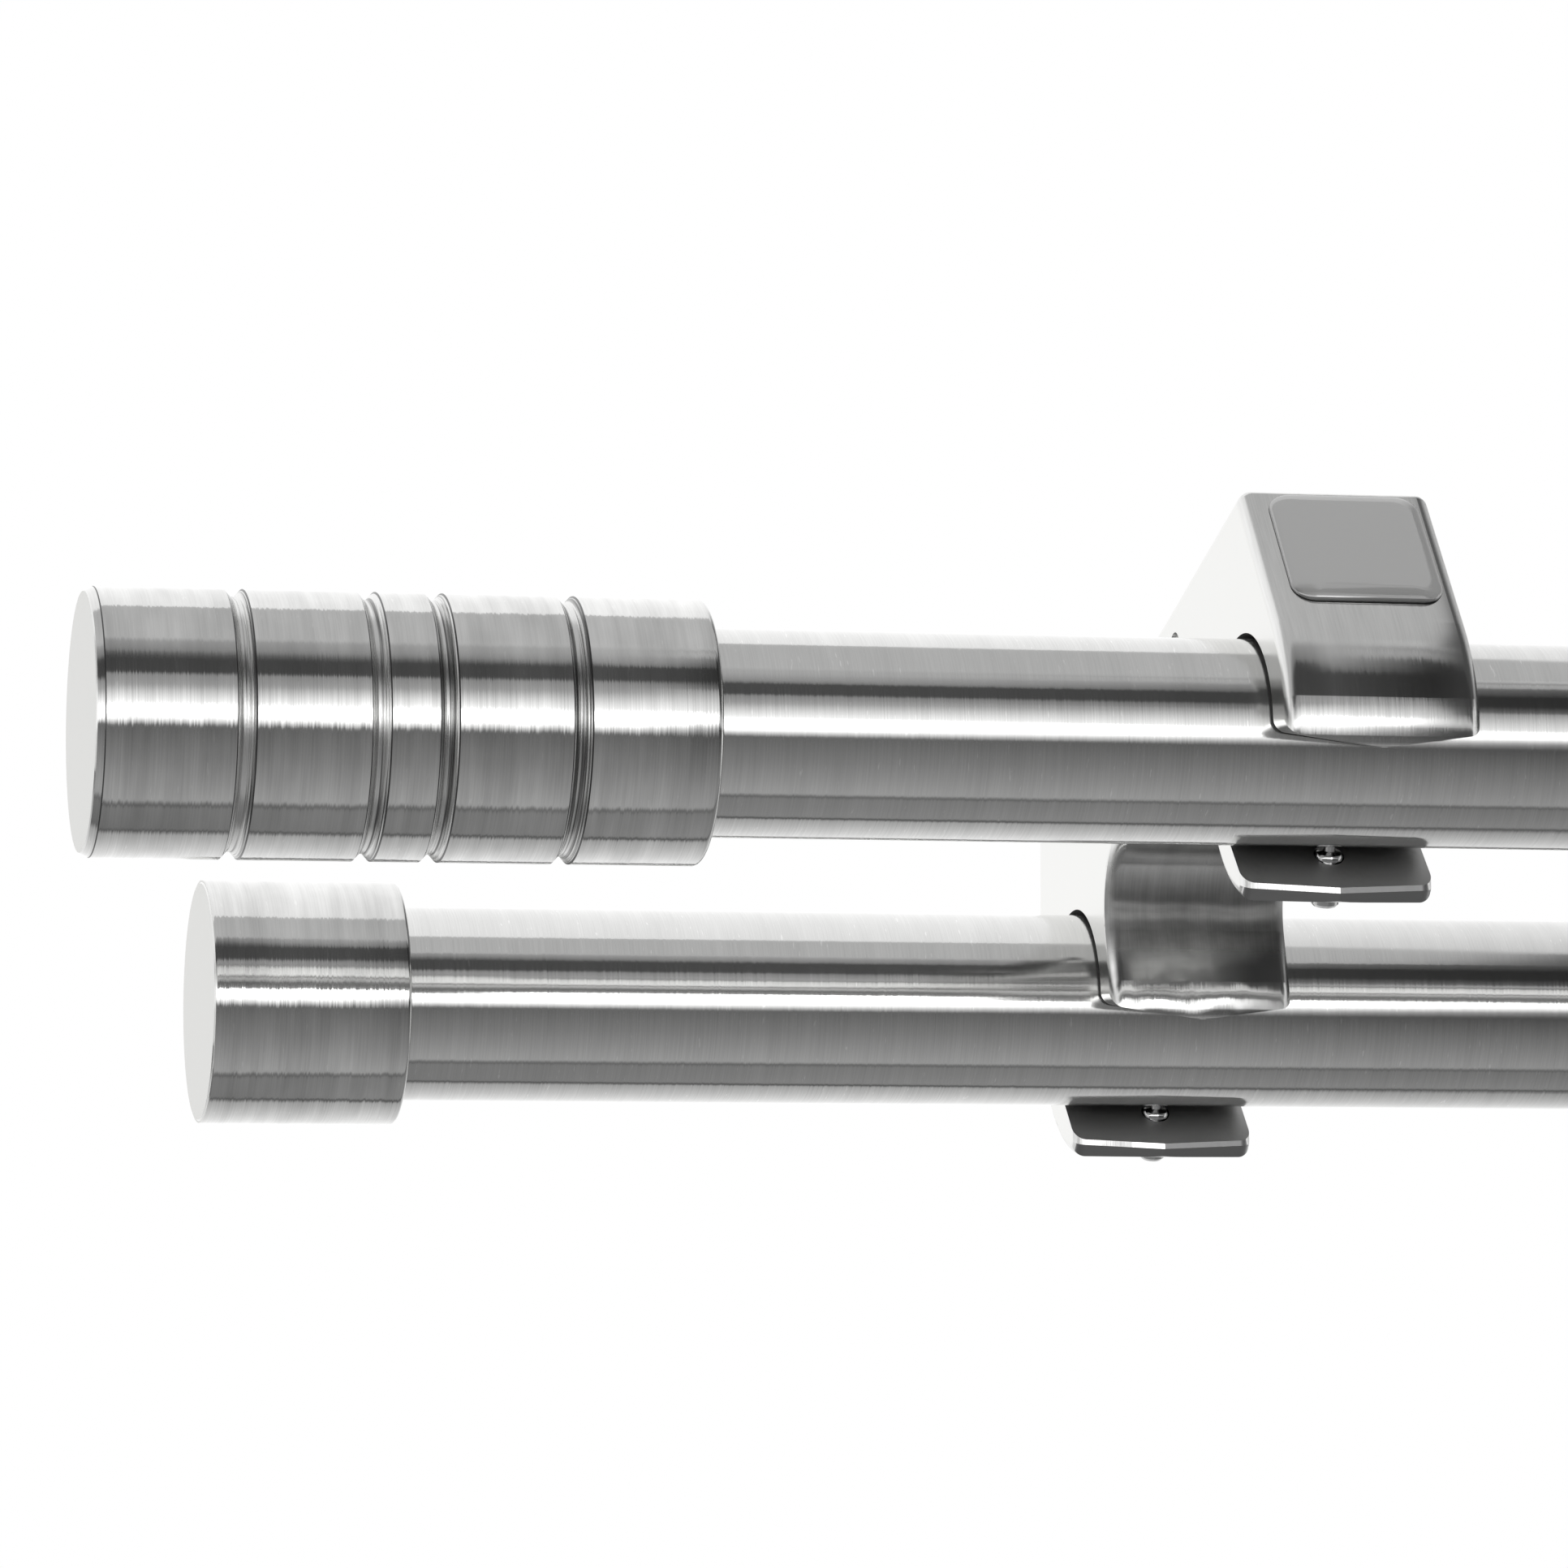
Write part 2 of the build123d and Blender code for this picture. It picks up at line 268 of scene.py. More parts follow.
turn_count = len(ring_points) // len(STATIONS)
ring_faces = []
for start in range(0, len(ring_points) - turn_count, turn_count):
    for k in range(turn_count):
        j = (k + 1) % turn_count
        ring_faces.append((start + k, start + j, start + turn_count + j, start + turn_count + k))
ring = mirror_board("Studio boards", ring_points, ring_faces, ring_levels)
ring.location = (0, 0, mm(FRONT_AXIS[1]))
print("ring of", len(ring_faces), "faces,", RING_RADIUS, "m in radius")

# %% [markdown]
# The ring stands far off, so both poles see each board at about the same height. A board that hangs close
# above them appears at another height from each pole. With it the front pole mirrors grey where the rear one
# mirrors white.

# %% Grey board close above
NEAR_HEIGHT = 118.0
NEAR_FRONT = -138.0
NEAR_BACK = (  # x, y and brightness along its back edge, which is dark beyond the left bracket
    (-4000, -37, 0.5), (-450, -37, 0.5), (-412, -53, 0.5), (-400, -58, 0.07), (4000, -58, 0.07),
)

near_points = [mm(x, y, NEAR_HEIGHT) for x, y, level in NEAR_BACK]
near_points += [mm(x, NEAR_FRONT, NEAR_HEIGHT) for x, y, level in NEAR_BACK]
near_count = len(NEAR_BACK)
near_faces = [(k, k + 1, near_count + k + 1, near_count + k) for k in range(near_count - 1)]
near = mirror_board("Grey board above", near_points, near_faces, [level for x, y, level in NEAR_BACK] * 2)
print("board", NEAR_HEIGHT, "mm above the ceiling plane")

# %% [markdown]
# Two soft lamps light what is matt, such as the folded channels. They show in no mirror, because a lamp's
# square outline would stand out on the poles. The floor lies far below, out of the picture.

# %% Floor and lamps
FLOOR_Z = -4.0
FLOOR_HALF = 40

floor_mesh = bpy.data.meshes.new("Floor")
floor_corners = [(u * FLOOR_HALF, v * FLOOR_HALF, FLOOR_Z) for u, v in ((-1, -1), (1, -1), (1, 1), (-1, 1))]
floor_mesh.from_pydata(floor_corners, [], [(0, 1, 2, 3)])
floor = new_object("Floor", floor_mesh)
floor_finish = bpy.data.materials.new("Pale paper")
floor_finish.use_nodes = True
paper = floor_finish.node_tree.nodes["Principled BSDF"]
paper.inputs["Base Color"].default_value = linear("#F7F7F6")
paper.inputs["Roughness"].default_value = 0.9
paper.inputs["Specular IOR Level"].default_value = 0.2
floor_mesh.materials.append(floor_finish)


def lamp(name, place, size, power):
    """A large soft lamp aimed at the origin. It lights matt surfaces and shows in no mirror."""
    data = bpy.data.lights.new(name, "AREA")
    data.size = size
    data.energy = power
    made = new_object(name, data)
    made.location = place
    made.rotation_euler = (-Vector(place)).to_track_quat("-Z", "Y").to_euler()
    made.visible_glossy = False


lamp("Key lamp", (-1.6, -2.0, 1.8), 2.0, 26)
lamp("Fill lamp", (2.0, -1.8, -0.8), 2.0, 10)
print("floor at", FLOOR_Z, "m")


# %% [markdown]
# ## Brushed steel
# A belt with grit is held against the turning piece, and leaves fine scratches that run round it. Light that
# meets such a surface spreads across the scratches and stays sharp along them, which is what the Anisotropic
# setting does: the tangent is the way in which light spreads, here along the poles. An image of scratches
# would blur close by, so noise draws them, thin along X and long round it. Each scratch leans a little, which
# frays the edges of the bright bands.

# %% Nodes that all metals share
def noise_at(tree, place, width, length, detail=2.0, shift=(0, 0, 0)):
    """Noise in streaks of a given width along X and length round it, in mm."""
    scale = (1 / mm(width), 1 / mm(length), 1 / mm(length))
    scaled = add_node(tree, "ShaderNodeMapping", values={"Location": shift, "Scale": scale}, links={0: place})
    return add_node(tree, "ShaderNodeTexNoise", values={"Scale": 1.0, "Detail": detail}, links={0: scaled})


def turned_normal(tree, round_x, along_x):
    """The surface's normal, turned round the X axis by one value and towards X by another, or by only one."""
    surface = add_node(tree, "ShaderNodeNewGeometry").outputs["Normal"]
    moved = surface
    if round_x is not None:
        around = add_node(tree, VECTOR, operation="CROSS_PRODUCT", values={0: (1, 0, 0)}, links={1: surface})
        lean = add_node(tree, VECTOR, operation="SCALE", links={0: around, "Scale": round_x})
        moved = add_node(tree, VECTOR, operation="ADD", links={0: moved, 1: lean})
    if along_x is not None:
        side = add_node(tree, "ShaderNodeCombineXYZ", links={0: along_x})
        moved = add_node(tree, VECTOR, operation="ADD", links={0: moved, 1: side})
    return add_node(tree, VECTOR, operation="NORMALIZE", links={0: moved})


def new_metal(name, roughness):
    """A bare metal finish: its tree, its Principled node and the object's own coordinates."""
    finish = bpy.data.materials.new(name)
    finish.use_nodes = True
    metal = finish.node_tree.nodes["Principled BSDF"]
    metal.inputs["Metallic"].default_value = 1.0
    metal.inputs["Roughness"].default_value = roughness
    return finish, finish.node_tree, metal, add_node(finish.node_tree, "ShaderNodeTexCoord").outputs["Object"]


def set_surface(tree, steel, tone, round_x=None, along_x=None):
    """Give steel its colour, made lighter or darker by a tone, and its turned normal."""
    colour = linear("#ECECEB")[:3]
    shade = add_node(tree, VECTOR, operation="SCALE", values={0: colour}, links={"Scale": tone})
    tree.links.new(shade.outputs[0], steel.inputs["Base Color"])
    tree.links.new(turned_normal(tree, round_x, along_x).outputs[0], steel.inputs["Normal"])


print("noise 1 mm wide has a scale of", 1 / mm(1))

# %% Brush marks
SCRATCH_WIDTH = 0.15  # real scratches are about 0.02 mm wide, too fine to show, so they are drawn coarser
CLOUDS = {"width": 5, "length": 5, "shift": (3.1, 1.7, 0.4)}


def brush_marks(tree, steel, place, length, lean, ticks, cloud):
    """Scratches round X, their length in mm. Gives how far they turn the light and how bright they are."""
    steel.inputs["Anisotropic"].default_value = 0.95
    # The Tangent socket takes no value of its own, so a node brings it.
    along = add_node(tree, "ShaderNodeCombineXYZ", values={0: 1.0})
    tree.links.new(along.outputs[0], steel.inputs["Tangent"])
    fine = noise_at(tree, place, SCRATCH_WIDTH, length, detail=3.0)
    clouds = noise_at(tree, place, **CLOUDS)
    deep = noise_at(tree, place, 0.3, 1.8, shift=(0.4, 3.1, 1.7))
    streaks = noise_at(tree, place, 1.4, 14, shift=(9.2, 0.7, 2.9))
    tone = add_node(tree, RANGE, values={1: 0.3, 2: 0.7, 3: 0.93, 4: 1.02}, links={0: fine})
    # Rare deep scratches catch the light, and clouds and streaks are a trace of polish.
    for source, ends in (
        (deep, {1: 0.68, 2: 0.76, 3: 0.0, 4: ticks}),
        (clouds, {1: 0.3, 2: 0.7, 3: -cloud, 4: cloud}),
        (streaks, {1: 0.3, 2: 0.7, 3: -2 * cloud, 4: 2 * cloud}),
    ):
        extra = add_node(tree, RANGE, values=ends, links={0: source})
        tone = add_node(tree, MATH, operation="ADD", links={0: tone, 1: extra})
    turned = add_node(tree, RANGE, values={1: 0.25, 2: 0.75, 3: -lean, 4: lean}, links={0: fine})
    return turned, tone


def brushed_steel(name, roughness, length, lean, ticks, cloud):
    """Stainless steel brushed round the X axis."""
    finish, tree, steel, place = new_metal(name, roughness)
    round_x, tone = brush_marks(tree, steel, place, length, lean, ticks, cloud)
    set_surface(tree, steel, tone, round_x)
    return finish


# Drawn tube, belt-brushed: long sharp bands of light along it, and a few bright ticks across them
TUBE_STEEL = brushed_steel("Brushed stainless tube", 0.125, length=9, lean=0.01, ticks=0.22, cloud=0.015)
# Turned and brushed on the lathe: the same bands, with more frayed edges and cloudier
TURNED_STEEL = brushed_steel("Turned stainless steel", 0.125, length=12, lean=0.02, ticks=0.1, cloud=0.045)
print("scratches are drawn", SCRATCH_WIDTH, "mm wide")


# %% [markdown]
# ## Brushed casting
# The brackets are cast, plated with nickel, and ground and brushed by hand along their outline. A face ground
# by hand bulges slightly from side to side (the crown), so what it mirrors bends away at its edges. The rear
# hook is harder to reach with the wheel: it mirrors unevenly (the mottle), and its upper part stays dull.
# Both could be modelled, but the faces would need to be very fine, so the normal is turned instead. The
# rear hook's upper part is also darkened in its colour: painted shade, where the front pole shades it.

# %% Crown and mottle
REAR_HOOK_Y = (15.0, 22.0)  # where the rear hook's look sets in, and where it is full
DULL_SHADED_Z = (-25.0, -21.0)  # the same for its dull upper part, which also gets painted shade
DULL_ROUGHNESS = 0.5


def crown_tilt(tree, x, crown):
    """Turn towards X of crown times (s / 4 + s cubed), s being the share of the way from middle to side."""
    # Wrapping serves both brackets at once: their middles are 1000 mm apart.
    shifted = add_node(tree, MATH, operation="ADD", values={1: mm(BRACKET_X)}, links={0: x})
    ends = {1: mm(BRACKET_X), 2: -mm(BRACKET_X)}
    offset = add_node(tree, MATH, operation="WRAP", values=ends, links={0: shifted})
    share = add_node(tree, MATH, operation="DIVIDE", values={1: mm(BRACKET_WIDTH / 2)}, links={0: offset})
    cube = add_node(tree, MATH, operation="POWER", values={1: 3.0}, links={0: share})
    curve = add_node(tree, MATH, operation="MULTIPLY_ADD", values={1: 0.25}, links={0: share, 2: cube})
    return add_node(tree, MATH, operation="MULTIPLY", values={1: crown}, links={0: curve})


def brushed_casting(name, roughness, length, lean, cloud, crown, mottle):
    """Nickel on a casting, brushed round the X axis, with crowned faces, mottle on the rear hook, and painted
    shade on its upper part.
    """
    finish, tree, nickel, place = new_metal(name, roughness)
    round_x, tone = brush_marks(tree, nickel, place, length, lean, 0.0, cloud)
    apart = add_node(tree, "ShaderNodeSeparateXYZ", links={0: place})
    starts, full = mm(*REAR_HOOK_Y)
    rear = add_node(tree, RANGE, values={1: starts, 2: full}, links={0: apart.outputs[1]})
    starts, full = mm(*DULL_SHADED_Z)
    upper = add_node(tree, RANGE, values={1: starts, 2: full}, links={0: apart.outputs[2]})
    dull_and_shaded = add_node(tree, MATH, operation="MULTIPLY", links={0: upper, 1: rear})
    rough = add_node(tree, RANGE, values={3: roughness, 4: DULL_ROUGHNESS}, links={0: dull_and_shaded})
    tree.links.new(rough.outputs[0], nickel.inputs["Roughness"])
    clouds = noise_at(tree, place, **CLOUDS)
    uneven = add_node(tree, RANGE, values={1: 0.3, 2: 0.7, 3: -mottle, 4: mottle}, links={0: clouds})
    spots = noise_at(tree, place, 4, 3, detail=4.0, shift=(1.7, 0.4, 3.1))
    blotch = add_node(tree, RANGE, values={1: 0.35, 2: 0.65, 3: -4 * mottle, 4: 0.0}, links={0: spots})
    round_x = add_node(tree, MATH, operation="MULTIPLY_ADD", links={0: uneven, 1: rear, 2: round_x})
    tone = add_node(tree, MATH, operation="MULTIPLY_ADD", links={0: blotch, 1: rear, 2: tone})
    # Painted shade: the rear hook's upper part is 60 % darker in colour, where the front pole shades it
    tone = add_node(tree, MATH, operation="MULTIPLY_ADD", values={1: -0.6}, links={0: dull_and_shaded, 2: tone})
    set_surface(tree, nickel, tone, round_x, crown_tilt(tree, apart.outputs[0], crown))
    return finish


# Softer bands than on the tubes, bent at both sides of each face and broken up on the rear hook, with painted
# shade on its upper part
CASTING_NICKEL = brushed_casting(
    "Brushed nickel on a casting", 0.16, length=5, lean=0.016, cloud=0.02, crown=0.28, mottle=0.055,
)
print("crown over half of", BRACKET_WIDTH, "mm")


# %% [markdown]
# ## Grooves, faces and other metal
# Where no brush comes, each metal shows how it was last worked. The lathe tool leaves rings in the grooves.
# Their light and dark rings are painted shade in the colour, drawn as noise again, very thin along X, because
# the outline itself only has room for the coarsest ones. The others are plain metals with a fine even grain,
# which differ in colour, roughness and grain.

# %% Rings left by the lathe tool
RING_WIDTH = 0.28  # real ones are about 0.1 mm, too fine to show, so they are drawn coarser


def ringed_metal(name, roughness, width, dark, tilt):
    """Bare metal as the lathe tool leaves it, with painted shade: its colour darkens in thin rings."""
    finish, tree, steel, place = new_metal(name, roughness)
    rings = noise_at(tree, place, width, 30)
    slope = noise_at(tree, place, width, 30, shift=(5.2, 0.3, 0.9))
    tone = add_node(tree, RANGE, values={1: 0.36, 2: 0.5, 3: dark, 4: 1.0}, links={0: rings})
    leaning = add_node(tree, RANGE, values={1: 0.35, 2: 0.65, 3: -tilt, 4: tilt}, links={0: slope})
    set_surface(tree, steel, tone, along_x=leaning)
    return finish


# Cut steel, never brushed: thin light and dark rings of painted shade in each groove
GROOVE_STEEL = ringed_metal("Rings in a groove", 0.25, RING_WIDTH, dark=0.25, tilt=0.4)
print("rings are drawn", RING_WIDTH, "mm wide")


# %% Plain metals
def plain_metal(name, colour, roughness, grain=0.3, depth=0.004):
    """Bare metal with a fine even grain. Grain size and depth are in mm."""
    finish, tree, metal, place = new_metal(name, roughness)
    metal.inputs["Base Color"].default_value = linear(colour)
    grains = {"Scale": 1 / mm(grain), "Detail": 4.0}
    noise = add_node(tree, "ShaderNodeTexNoise", values=grains, links={0: place})
    heights = {"Strength": 1.0, "Distance": mm(depth)}
    bump = add_node(tree, "ShaderNodeBump", values=heights, links={"Height": noise})
    tree.links.new(bump.outputs[0], metal.inputs["Normal"])
    return finish


# End faces cut square by the lathe: pale and soft, with no clear image in them
FACED_STEEL = plain_metal("Faced stainless steel", "#E4E4E2", 0.5, grain=0.4, depth=0.002)
# Sides polished on a wheel: nearly as white as the paper that they mirror, and slightly wavy
CAST_SIDE = plain_metal("Polished side of a casting", "#E6E6E4", 0.22, grain=2.5, depth=0.01)
# Zinc on folded sheet: dull grey with a trace of blue
FOLDED_ZINC = plain_metal("Zinc-plated sheet steel", "#B9BDC2", 0.4, grain=3.0, depth=0.02)
# Zinc on turned screws: small sharp lights on a darker body
SCREW_ZINC = plain_metal("Zinc-plated screw", "#D9D9D9", 0.12, grain=0.8, depth=0.02)
# Plated but never ground: a grey in which light and dark run together
INSIDE_NICKEL = plain_metal("Unpolished inside of a casting", "#C0C0C0", 0.4, grain=0.6, depth=0.02)
# Small end faces that the brush leaves out: a darker, duller grey than the rest of the jaw. The same grey is
# painted shade on the right half of each jaw's inner edge
JAW_END_AND_SHADE = plain_metal("Dull end of a jaw, and painted shade", "#A0A0A0", 0.3, grain=0.8, depth=0.012)
# Painted shade: a thin dark line at the edge of each groove and of the finial's bevel
GROOVE_EDGE_SHADE = plain_metal("Painted shade at a groove's edge", "#6A6A6A", 0.3, grain=0.3, depth=0.002)
# Painted shade: a thin dark line round the badge, on the dome's back and low wall
BADGE_EDGE_SHADE = plain_metal("Painted shade round the badge", "#3C3C3C", 0.5)
print("finishes so far:", len(bpy.data.materials))


# %% [markdown]
# ## Clear resin over foil
# The badge is a silver foil label with a dome of clear resin. Glass over a second shape would do, but light
# takes long to find its way through it. A coat does the same in one shader: the foil underneath mirrors as a
# flat sheet, whatever the dome's shape is, and the coat on top mirrors with the dome's own round surface.

# %% Resin badge
BADGE_OUT = Vector((0, -0.917, 0.399))  # the way the bracket's front face looks


def resin_badge(name, colour, facing):
    """Silver foil under clear resin, its foil flat and facing one way."""
    finish, tree, foil, place = new_metal(name, 0.34)
    foil.inputs["Base Color"].default_value = linear(colour)
    foil.inputs["Coat Weight"].default_value = 1.0
    foil.inputs["Coat Roughness"].default_value = 0.04
    foil.inputs["Coat IOR"].default_value = 2.6  # resin has 1.5, with which the light on the rim hardly shows
    # The Normal socket takes no value of its own either.
    sheet = add_node(tree, "ShaderNodeCombineXYZ", values=dict(enumerate(facing)))
    tree.links.new(sheet.outputs[0], foil.inputs["Normal"])
    return finish


# An even grey sheet, with a light line where the dome turns down at its lower rim
BADGE_FOIL = resin_badge("Foil badge under clear resin", "#D2D2D1", BADGE_OUT)
print("badge faces", tuple(round(v, 3) for v in BADGE_OUT))


# %% [markdown]
# ## Turned pieces
# A lathe turns a bar while a tool follows an outline. Geometry Nodes can do the same: the outline is a line
# drawn as radius against length, and Curve to Mesh carries it once round a circle. One tree then makes the
# tubes, the finials, the caps and the screws, each from its own outline.

# %% Lathe tree
def new_tree(name, inputs):
    """A geometry tree with these inputs, given as name and kind, and its Group Input node."""
    tree = bpy.data.node_groups.new(name, "GeometryNodeTree")
    tree.is_modifier = True
    for socket, kind in inputs.items():
        tree.interface.new_socket(socket, in_out="INPUT", socket_type=f"NodeSocket{kind}")
    tree.interface.new_socket("Geometry", in_out="OUTPUT", socket_type="NodeSocketGeometry")
    return tree, add_node(tree, "NodeGroupInput")


def coated_output(tree, given, shape):
    """End a tree: what it made becomes real, takes the material and goes out."""
    real = add_node(tree, "GeometryNodeRealizeInstances", links={0: shape})
    coat = {0: real, "Material": given.outputs["Material"]}
    coated = add_node(tree, "GeometryNodeSetMaterial", links=coat)
    add_node(tree, "NodeGroupOutput", links={0: coated})


def lathe_tree():
    """Carries the outline (x is radius, y is length) round the Z axis, then turns and places the piece."""
    tree, given = new_tree("Lathe", {
        "Outline": "Geometry", "Segments": "Int", "Turn": "Vector", "Place": "Vector",
        "Sharp above": "Float", "Material": "Material",
    })
    outline = add_node(tree, "GeometryNodeMeshToCurve", links={0: given.outputs["Outline"]})
    # The circle is 1 mm in radius, so the outline is moved in by that much. Its length runs against the
    # circle's axis.
    moves = {"Translation": mm(-1, 0, 0), "Scale": (1, -1, 1)}
    inwards = add_node(tree, "GeometryNodeTransform", values=moves, links={0: outline})
    segments = {"Resolution": given.outputs["Segments"]}
    circle = add_node(tree, "GeometryNodeCurvePrimitiveCircle", values={"Radius": mm(1)}, links=segments)
    level = add_node(tree, "GeometryNodeSetCurveNormal", mode="Z_UP", links={0: circle})
    swept = add_node(tree, "GeometryNodeCurveToMesh", links={"Curve": level, "Profile Curve": inwards})
    closed = add_node(tree, "GeometryNodeMergeByDistance", values={"Distance": mm(0.002)}, links={0: swept})
    places = {0: closed, "Rotation": given.outputs["Turn"], "Translation": given.outputs["Place"]}
    placed = add_node(tree, "GeometryNodeTransform", links=places)
    fold = add_node(tree, "GeometryNodeInputMeshEdgeAngle")
    soft = add_node(tree, MATH, operation="LESS_THAN", links={0: fold, 1: given.outputs["Sharp above"]})
    shading = {0: placed, "Shade Smooth": soft}
    smooth = add_node(tree, "GeometryNodeSetShadeSmooth", domain="EDGE", links=shading)
    coated_output(tree, given, smooth)
    return tree


LATHE = lathe_tree()
print("tree", LATHE.name, "with", len(LATHE.nodes), "nodes")


# %% Run a tree and keep its result
def face_outwards(mesh):
    """Turn all faces outwards, and count the edges that are open."""
    shape = bmesh.new()
    shape.from_mesh(mesh)
    bmesh.ops.recalc_face_normals(shape, faces=shape.faces)
    open_edges = sum(not edge.is_manifold for edge in shape.edges)
    shape.to_mesh(mesh)
    shape.free()
    return open_edges


def run_tree(name, points, edges, tree, settings, attributes=None):
    """Give points and edges to a tree as its mesh, and return the result as an object with a plain mesh."""
    mesh = bpy.data.meshes.new(name)
    mesh.from_pydata(points, edges, [])
    for key, values in (attributes or {}).items():
        layer = mesh.attributes.new(key, "FLOAT_VECTOR", "POINT")
        layer.data.foreach_set("vector", [c for v in values for c in v])
    made = new_object(name, mesh)
    modifier = made.modifiers.new(tree.name, "NODES")
    modifier.node_group = tree
    for item in tree.interface.items_tree:
        if item.name in settings:
            modifier[item.identifier] = settings[item.name]
    graph = bpy.context.evaluated_depsgraph_get()
    result = bpy.data.meshes.new_from_object(made.evaluated_get(graph))
    made.modifiers.clear()
    made.data = result
    result.name = name
    bpy.data.meshes.remove(mesh)
    open_edges = face_outwards(result)
    print(f"{name}: {len(result.polygons)} faces, {open_edges} open edges")
    return made


def turn_on_lathe(name, outline, settings, closed=False):
    """Turn an outline of radius and length in mm, which ends where it began if it is closed."""
    count = len(outline)
    edges = [(i, (i + 1) % count) for i in range(count if closed else count - 1)]
    return run_tree(name, [mm(radius, length, 0) for radius, length in outline], edges, LATHE, settings)


def keep(piece, node):
    """The finished piece stands for a CAD node: it rides with the root body, and the node is hidden."""
    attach(piece, "root")
    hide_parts(node)


# %% [markdown]
# ## Poles
# The tube is 20 mm across with a 1 mm wall. Its half section is just a long thin rectangle, which is why the
# lathe makes it in one go, wall and all.

# %% Poles
FINE_SEGMENTS = 192  # round the poles, finials and caps

inner = POLE_RADIUS - POLE_WALL
half_section = [(POLE_RADIUS, 0), (POLE_RADIUS, POLE_LENGTH), (inner, POLE_LENGTH), (inner, 0)]
for name, axis in (("front_pole", FRONT_AXIS), ("rear_pole", REAR_AXIS)):
    settings = {
        "Segments": FINE_SEGMENTS, "Turn": (0, math.radians(90), 0), "Place": mm(-POLE_LENGTH / 2, *axis),
        "Sharp above": math.radians(30), "Material": TUBE_STEEL,
    }
    tube = turn_on_lathe(f"{name}_tube", half_section, settings, closed=True)
    keep(tube, name)


# %% [markdown]
# ## Finials and caps
# These are short closed sleeves. The finial has four V grooves, and the point of the lathe tool leaves rings
# on their walls. The outline is walked from the middle of the outer face round to the bottom of the socket:
# face, bevel, skin with its grooves, rounded back edge, and socket. The coarsest rings are in the outline, so
# that the groove's edges look turned from close by.

# %% Outline of a turned end
SOCKET_CLEARANCE = 0.1
GROOVE_WIDTH = 1.9
GROOVE_DEPTH = 0.75
GROOVE_FLOOR = 0.5
GROOVE_RINGS = 3  # on each wall
GROOVE_RING_DEPTH = 0.05
CORNER = 0.12  # length of the small step at each end of a bevel, and of a groove's painted dark edge
CORNER_DROP = 0.05  # how far below the skin a bevel's last step begins


def groove_points(place, radius):
    """One groove: down one wall, over the floor and up the other, with rings left by the tool."""
    points = []
    for side in (-1, 1):
        wall = []
        for k in range(2 * GROOVE_RINGS + 1):
            t = k / (2 * GROOVE_RINGS)
            offset = side * (GROOVE_WIDTH / 2 + t * (GROOVE_FLOOR - GROOVE_WIDTH) / 2)
            wall.append((radius - GROOVE_DEPTH * t - (GROOVE_RING_DEPTH if k % 2 else 0), place + offset))
        points += wall if side < 0 else wall[::-1]
    return points


def end_outline(radius, nose, sleeve, bevel, back_round, grooves):
    """Outline of a closed sleeve, from the middle of its face to the middle of its socket's floor."""
    socket = POLE_RADIUS + SOCKET_CLEARANCE
    length = nose + sleeve
    along, inwards = bevel
    points = [(0, 0), (radius - inwards - CORNER, 0), (radius - inwards, CORNER)]
    points += [(radius - CORNER_DROP, along - CORNER), (radius, along)]
    for place in grooves:
        points += groove_points(place, radius)
    for k in range(7):
        a = math.radians(15 * k)
        points.append((radius - back_round * (1 - math.cos(a)), length - back_round * (1 - math.sin(a))))
    return points + [(socket, length), (socket, nose), (0, nose)]


FINIAL = {
    "radius": 12.75, "nose": 22.5, "sleeve": 36.5, "bevel": (0.9, 0.35), "back_round": 0.6,
    "grooves": (14.0, 26.6, 33.0, 45.6),
}
CAP = {"radius": 12.5, "nose": 2.5, "sleeve": 17.7, "bevel": (0.25, 0.25), "back_round": 0.4, "grooves": ()}
print("outline points: finial", len(end_outline(**FINIAL)), "cap", len(end_outline(**CAP)))


# %% Finials and caps
def turned_zone(face, side, sizes):
    """0 brushed skin, 1 faced end, 2 wall of a groove, 3 painted shade at the edge of a groove or of the
    finial's bevel.
    """
    from_end = POLE_LENGTH / 2 + sizes["nose"] - abs(face.center.x) * 1000
    off_groove = min((abs(from_end - place) for place in sizes["grooves"]), default=GROOVE_WIDTH)
    off_bevel = abs(from_end - sizes["bevel"][0] + CORNER / 2)
    if face.normal.x * side > 0.95:
        return 1
    if sizes["grooves"] and off_bevel < CORNER / 3:
        return 3
    if off_groove < GROOVE_WIDTH / 2:
        return 3 if off_groove > GROOVE_WIDTH / 2 - CORNER else 2
    return 0


for name, side in SIDES.items():
    for kind, sizes, axis in (("finial", FINIAL, FRONT_AXIS), ("cap", CAP, REAR_AXIS)):
        settings = {
            "Segments": FINE_SEGMENTS, "Turn": (0, math.radians(-90 * side), 0),
            "Place": mm(side * (POLE_LENGTH / 2 + sizes["nose"]), *axis),
            "Sharp above": math.radians(20), "Material": TURNED_STEEL,
        }
        turned = turn_on_lathe(f"{name}_{kind}_turned", end_outline(**sizes), settings)
        for finish in (FACED_STEEL, GROOVE_STEEL, GROOVE_EDGE_SHADE):
            turned.data.materials.append(finish)
        for face in turned.data.polygons:
            face.material_index = turned_zone(face, side, sizes)
        keep(turned, f"{name}_{kind}")


# %% [markdown]
# ## Brackets
# The bracket is one casting, ground and brushed along its outline, with polished sides. The solid already has
# its rounded rims, so a copy of it only gets its finishes: brushed outside, polished at the sides, and
# unpolished inside the hooks, where no wheel gets in. The jaws' ends are dull, and the right half of their
# inner edge gets painted shade, so that only the left half looks bright.

# %% Brackets
BORE_REACH = POLE_RADIUS + 1.2  # just outside the bore
JAW_BELOW = -32.0  # z of a jaw's inner face
JAW_END_BELOW = -35.5  # z of its end


